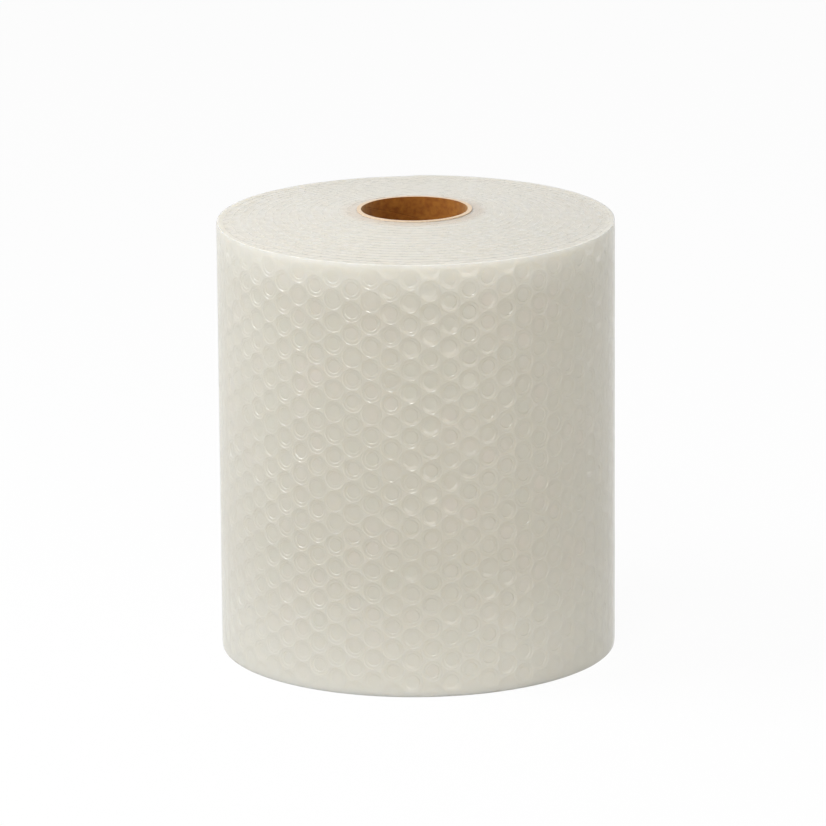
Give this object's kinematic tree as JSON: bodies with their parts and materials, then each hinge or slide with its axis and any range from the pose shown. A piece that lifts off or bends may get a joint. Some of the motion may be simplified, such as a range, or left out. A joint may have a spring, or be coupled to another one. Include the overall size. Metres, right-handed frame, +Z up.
{
  "type": "bubble wrap roll",
  "caption": "Large roll of bubble wrap wound on an open paperboard core, standing on one end.",
  "frame": {"origin": "centre of the ring that the roll stands on, on the axis of the core", "axes": "+Z up the roll's axis, -Y towards the front, +Y towards the sheet's loose end"},
  "size_m": [0.4549, 0.4575, 0.5125],
  "materials": {
    "core_tube": "matte",
    "bubble_wrap": "satin"
  },
  "bodies": {
    "root": {"core_tube": "core_tube", "bubble_wrap": "bubble_wrap"}
  },
  "joints": []
}
